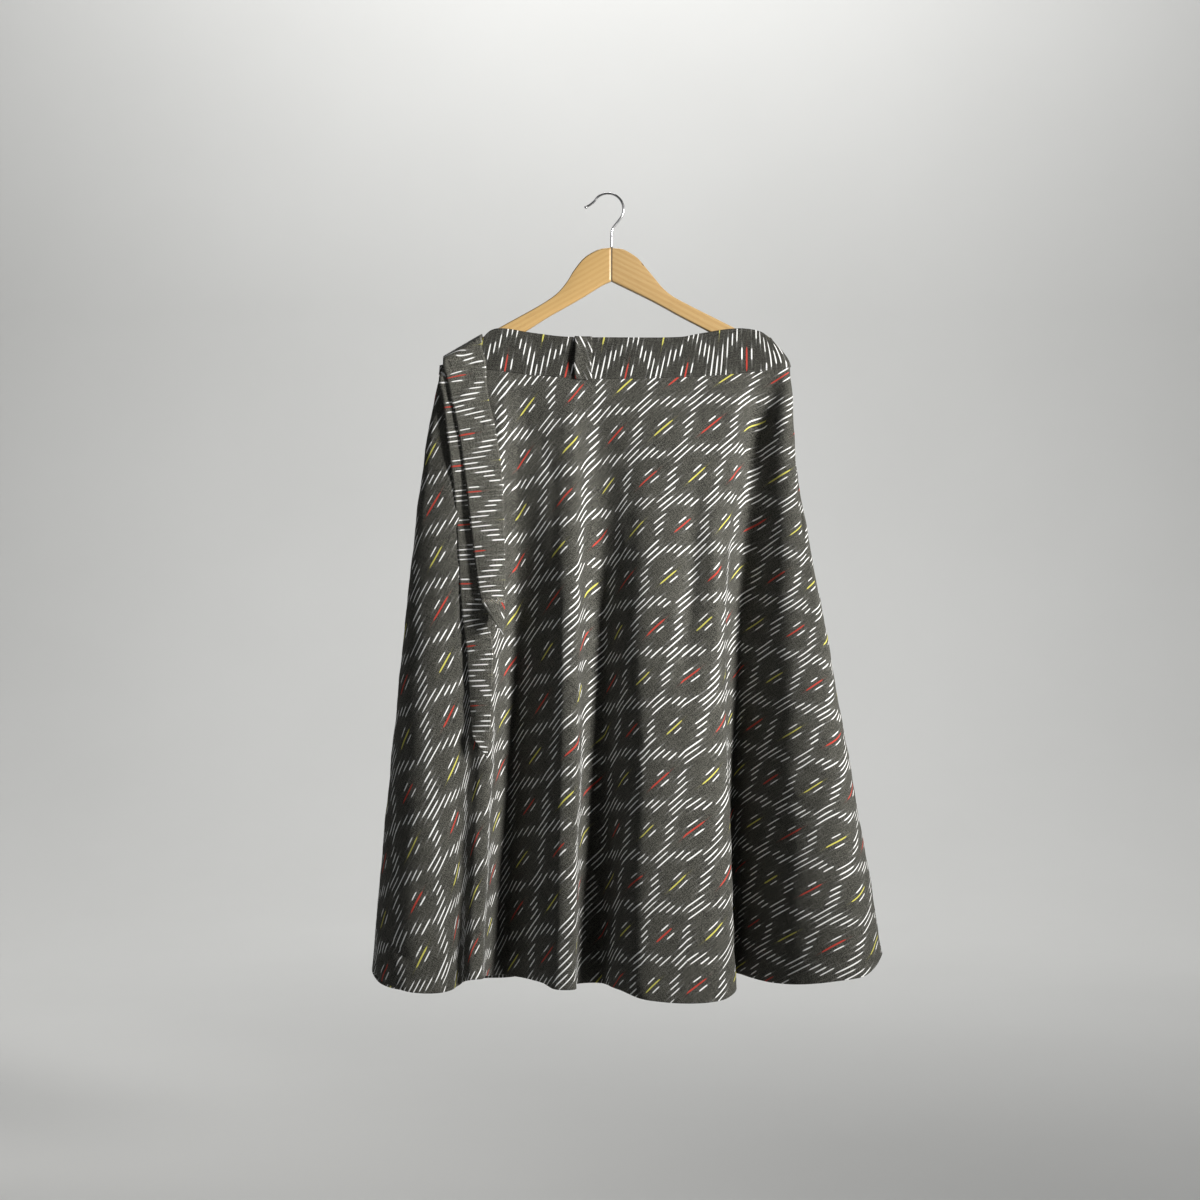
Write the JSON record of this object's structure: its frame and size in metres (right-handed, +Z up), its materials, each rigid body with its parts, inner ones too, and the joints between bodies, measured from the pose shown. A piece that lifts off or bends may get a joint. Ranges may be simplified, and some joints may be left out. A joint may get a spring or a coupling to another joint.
{
  "type": "wrap skirt on a wooden hanger",
  "caption": "Mid-length flared wrap skirt in dashed ikat cotton with a plain waistband and two ties, hung over a wooden hanger with a steel hook.",
  "frame": {"origin": "inner top of the hanger's hook, where it hangs", "axes": "+Z up, the skirt's front faces -Y, +X to the right as the front is seen"},
  "size_m": [0.6482, 0.23, 1.034],
  "materials": {
    "cloth": "matt handwoven cotton with dashes of undyed yarn",
    "wood": "clear satin varnish",
    "steel": "bright plated wire"
  },
  "bodies": {
    "root": {"front_panel": "cloth", "back_panel": "cloth", "underlap_panel": "cloth", "waistband_front": "cloth", "waistband_back": "cloth", "waistband_underlap": "cloth", "tie_upper": "cloth", "tie_lower": "cloth", "belt_loop": "cloth", "hanger_left": "wood", "hanger_right": "wood", "hanger_hook": "steel"}
  },
  "joints": []
}
